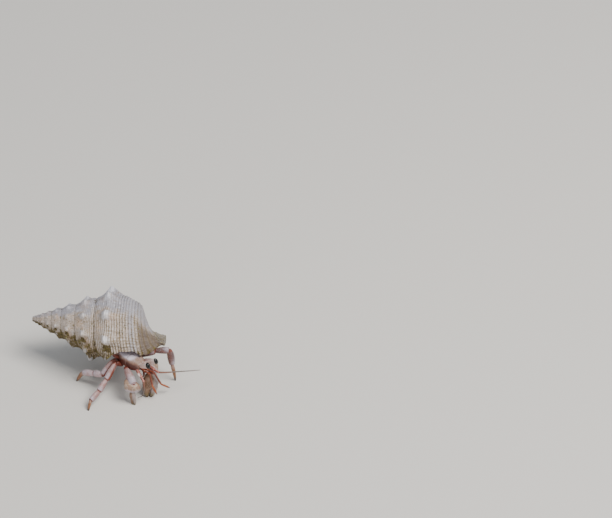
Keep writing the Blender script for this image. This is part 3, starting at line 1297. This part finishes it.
def pincer_armour():
    """Armour of the hands: brown on the outer face, blue-white with orange on the inner one, olive to dark
    at the fingertips, with pale knobs."""
    material, shader, start = finish("pincer_armour", 0.38, coat=0.25, coat_roughness=0.25)
    place = place_in_mm(start)
    limb = limb_marks(start)
    share = limb.axis(2)
    mottle = place.cloud(1.1, 4, 0.6)
    grain = place.cloud(0.22, 3)
    dots = place.spots(0.55)
    colour = plain(start, (0.175, 0.087, 0.042))
    colour = colour.cover((0.29, 0.165, 0.105), mottle.within(0.5, 0.64) * 0.8)
    inner = (limb.axis(1) + (mottle - 0.5) * 1.2).within(0.05, -0.45)
    colour = colour.cover((0.31, 0.265, 0.26), inner * 0.85)
    colour = colour.cover((0.36, 0.13, 0.035), mottle.within(0.56, 0.7) * inner * 0.75)
    colour = colour.cover((0.52, 0.44, 0.40), grain.within(0.57, 0.7) * 0.35)
    colour = colour.cover((0.12, 0.045, 0.035), dots.within(0.24, 0.12) * 0.5)
    colour = colour.cover((0.13, 0.10, 0.035), (share + (mottle - 0.5) * 0.3).within(0.66, 0.92) * 0.85)
    colour = colour.cover((0.05, 0.025, 0.015), (share + (mottle - 0.5) * 0.1).within(0.84, 0.96) * 0.95)
    colour = colour.cover((0.3, 0.06, 0.02), share.within(0.06, 0.0) * 0.9)
    colour = colour.cover((0.55, 0.45, 0.4), limb.axis(1).within(1.3, 1.5) * share.within(0.95, 0.7) * 0.75)
    lay(shader, "Base Color", colour)
    raised(shader, grain * 0.5 + mottle * 0.5, 0.08 * MM)
    return material


PINCER_ARMOUR = pincer_armour()


def hand_piece(name, root, tip, rings, size, across, rows):
    length = (tip - root).length
    sized = [(share, thick * size, broad * size, 0, push * size) for share, thick, broad, push in rings]
    piece, place = limb_plate(name, root, tip, sized, across)
    piece = toothed(piece, sized, length, rows)
    settle(piece, place)
    bpy.ops.object.shade_smooth()
    stand(piece)
    return piece


for side, joints in PINCERS.items():
    joints = vectors(joints)
    for (part, rings), start, end in zip(ARM_RINGS[side].items(), joints, joints[1:]):
        up = ARM_UP[side].get(part, (0, 0, 1))
        piece = armour_piece(f"pincer_{side}_{part}_plate", start, end, rings, ARM_TEETH.get(part, ()), up)
        slot = "armour_red" if part == "hip" else "armour"
        hand_over(piece, ARM_FINISHES[part], slot, f"pincer_{side}_{part}")
    root, tip = joints[3:]
    way = (tip - root).normalized()
    out = (OUTWARD[side] - way * OUTWARD[side].dot(way)).normalized()
    across = way.cross(out)
    size = HAND_SIZE[side]
    knobs = [(angle, 0.1, 0.62, 10, 0.085 * size) for angle in (-40, -17, 6, 29, 52, 75, 98, 150, 200)]
    bite = [(-90, 0.62, 0.92, 6, 0.09 * size)]
    hand = hand_piece(f"pincer_{side}_palm", root, tip, PALM_RINGS, size, across, knobs + bite)
    hand_over(hand, PINCER_ARMOUR, "armour", f"pincer_{side}_hand")
    back = [(angle, 0.48, 0.9, 7, 0.075 * size) for angle in (-60, -20, -100, -140)]
    bite = [(90, 0.6, 0.92, 6, 0.08 * size)]
    finger = hand_piece(f"pincer_{side}_thumb", root, tip, FINGER_RINGS, size, across, back + bite)
    hand_over(finger, PINCER_ARMOUR, "armour", f"pincer_{side}_finger")


# ---- the short rear legs ----
# The fourth pair braces the shell from inside its mouth with a rasp of small scales on the hand; the fifth,
# soft and slender, lies above it. share of the piece, half width, half height
SHORT_ARM_RINGS = [
    (-0.1, 0.26, 0.32), (0.1, 0.36, 0.45), (0.5, 0.42, 0.52), (0.9, 0.43, 0.52), (1.0, 0.34, 0.4),
]
SHORT_PALM_RINGS = [
    (-0.1, 0.24, 0.28), (0.05, 0.38, 0.42), (0.4, 0.47, 0.54), (0.7, 0.44, 0.5), (0.92, 0.3, 0.34),
    (1.0, 0.18, 0.2),
]
RASP = [(angle, 0.3, 0.85, 6, 0.07) for angle in (-20, 5, 30)]  # as LEG_TEETH

for side, sign in SIDES.items():
    root, elbow, tip = vectors([(-3.0, 1.7 * sign, 9.3), (-3.7, 2.9 * sign, 10.2), (-3.6, 2.5 * sign, 11.7)])
    upper = armour_piece(f"leg4_{side}_arm", root, elbow, SHORT_ARM_RINGS)
    hand_over(upper, RED_ARMOUR, "armour_red", f"leg4_{side}_upper")
    palm = armour_piece(f"leg4_{side}_palm", elbow, tip, SHORT_PALM_RINGS, RASP)
    hand_over(palm, RED_ARMOUR, "armour_red", f"leg4_{side}_hand")
    route = vectors([(-5.2, 1.4 * sign, 10.2), (-5.4, 2.3 * sign, 11.1), (-5.1, 2.4 * sign, 12.1)])
    fifth = swept(f"leg5_{side}_limb", route, [0.32, 0.3, 0.2], sides=12, steps=8)
    place_and_hand_over(fifth, CRAB, SOFT_SKIN, "soft_body", f"leg5_{side}")

bpy.data.objects.remove(tooth)


# ---- skin of the joints ----
# Folds of soft, dark red skin show where one plate turns in the next.
LEG_FOLDS = (0.42, 0.46, 0.42, 0.33)  # size at each joint, from the body on
PINCER_FOLDS = {"R": (0.5, 0.6, 0.45), "L": (0.55, 0.66, 0.95)}
WRIST_FOLD = 0.74  # a second one, at the right pincer's elbow
WRIST_FOLD_AHEAD = 0.08


def joint_fold(place, size):
    bare()
    bpy.ops.mesh.primitive_uv_sphere_add(segments=20, ring_count=12, radius=size, location=place)
    bpy.ops.object.transform_apply(location=True)
    return bpy.context.object


elbow, wrist = vectors(PINCERS["R"][2:4])
folds = [joint_fold(elbow + (wrist - elbow).normalized() * WRIST_FOLD_AHEAD, WRIST_FOLD)]
for joints in LEGS.values():
    for joint, size in zip(joints[1:5], LEG_FOLDS):
        folds.append(joint_fold(joint, size))
for side, joints in PINCERS.items():
    for joint, size in zip(joints[1:4], PINCER_FOLDS[side]):
        folds.append(joint_fold(joint, size))
joint_skin = joined("joint_skin", folds)
place_and_hand_over(joint_skin, CRAB, RED_ARMOUR, "armour_red")


# ---- floor and light ----
# A sheet of warm white paper under a high key lamp from the right and a weak fill from the camera's side.
LAMP_AIM = Vector((0, 0, 0.01))

bare()
bpy.ops.mesh.primitive_plane_add(size=6, location=(0, 0, 0))
floor = bpy.context.object
floor.name = "floor"
paper = bpy.data.materials.new("paper")
paper.use_nodes = True
paper_shader = paper.node_tree.nodes["Principled BSDF"]
paper_shader.inputs["Base Color"].default_value = (0.72, 0.7, 0.67, 1)
paper_shader.inputs["Roughness"].default_value = 0.9
floor.data.materials.append(paper)

world = bpy.data.worlds.new("studio")
world.use_nodes = True
sky = world.node_tree.nodes["Background"]
sky.inputs["Color"].default_value = (0.86, 0.92, 1, 1)
sky.inputs["Strength"].default_value = 0.4
bpy.context.scene.world = world


def lamp(name, energy, size, colour, place):
    """A square lamp that faces the model."""
    light = bpy.data.lights.new(name, "AREA")
    light.energy = energy
    light.size = size
    light.color = colour
    holder = bpy.data.objects.new(name, light)
    holder.location = place
    holder.rotation_euler = (LAMP_AIM - holder.location).to_track_quat("-Z", "Y").to_euler()
    bpy.context.scene.collection.objects.link(holder)


lamp("key", 7.8, 0.42, (1, 0.96, 0.9), (0.34, -0.24, 0.66))
lamp("fill", 1.7, 0.5, (1, 0.97, 0.94), (-0.38, -0.8, 0.26))
